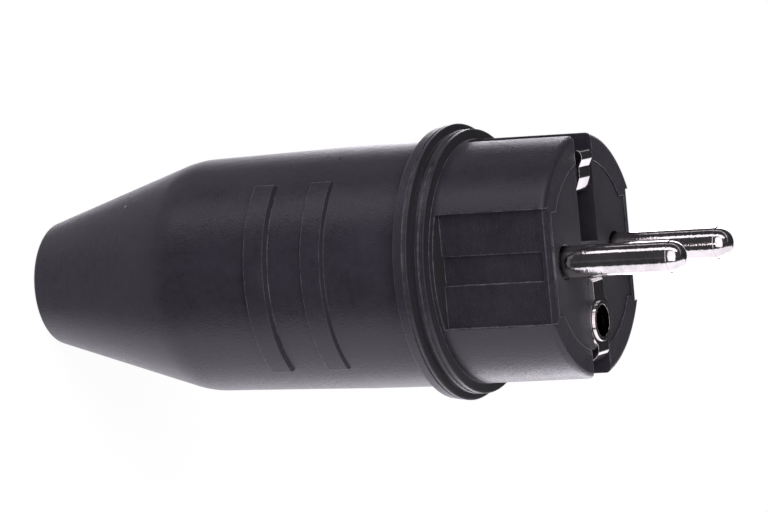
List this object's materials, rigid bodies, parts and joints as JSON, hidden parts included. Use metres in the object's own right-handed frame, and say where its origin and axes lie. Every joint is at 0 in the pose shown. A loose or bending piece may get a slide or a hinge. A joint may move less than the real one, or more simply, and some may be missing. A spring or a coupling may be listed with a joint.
{
  "type": "earthed mains plug",
  "caption": "Rewirable rubber mains plug with round pins, side earth contacts, an earth-pin hole and a tapered cable hood.",
  "frame": {"origin": "centre of the flat cable end that the plug stands on", "axes": "+Z along the plug from the cable end to the pin tips; the pins lie along Y; the earth-pin hole is on +X"},
  "size_m": [0.0424, 0.0422, 0.1113],
  "materials": {
    "housing_rubber": "matte moulded rubber",
    "seal_rubber": "soft rubber",
    "insert_plastic": "matte moulded plastic",
    "plated_metal": "nickel plated",
    "terminal_brass": "machined",
    "screw_steel": "zinc plated"
  },
  "bodies": {
    "root": {"hood": "housing_rubber", "front_body": "housing_rubber", "sealing_ring": "seal_rubber", "pin_carrier": "insert_plastic", "retaining_plate": "insert_plastic", "clamp_bar": "insert_plastic", "line_pin": "plated_metal", "neutral_pin": "plated_metal", "upper_earth_contact": "plated_metal", "lower_earth_contact": "plated_metal", "earth_sleeve": "plated_metal", "earth_terminal": "terminal_brass", "line_terminal_screw": "screw_steel", "neutral_terminal_screw": "screw_steel", "earth_terminal_screw": "screw_steel", "clamp_screw_near": "screw_steel", "clamp_screw_far": "screw_steel", "clamp_nut_near": "screw_steel", "clamp_nut_far": "screw_steel", "carrier_screw_near": "screw_steel", "carrier_screw_far": "screw_steel"}
  },
  "joints": []
}
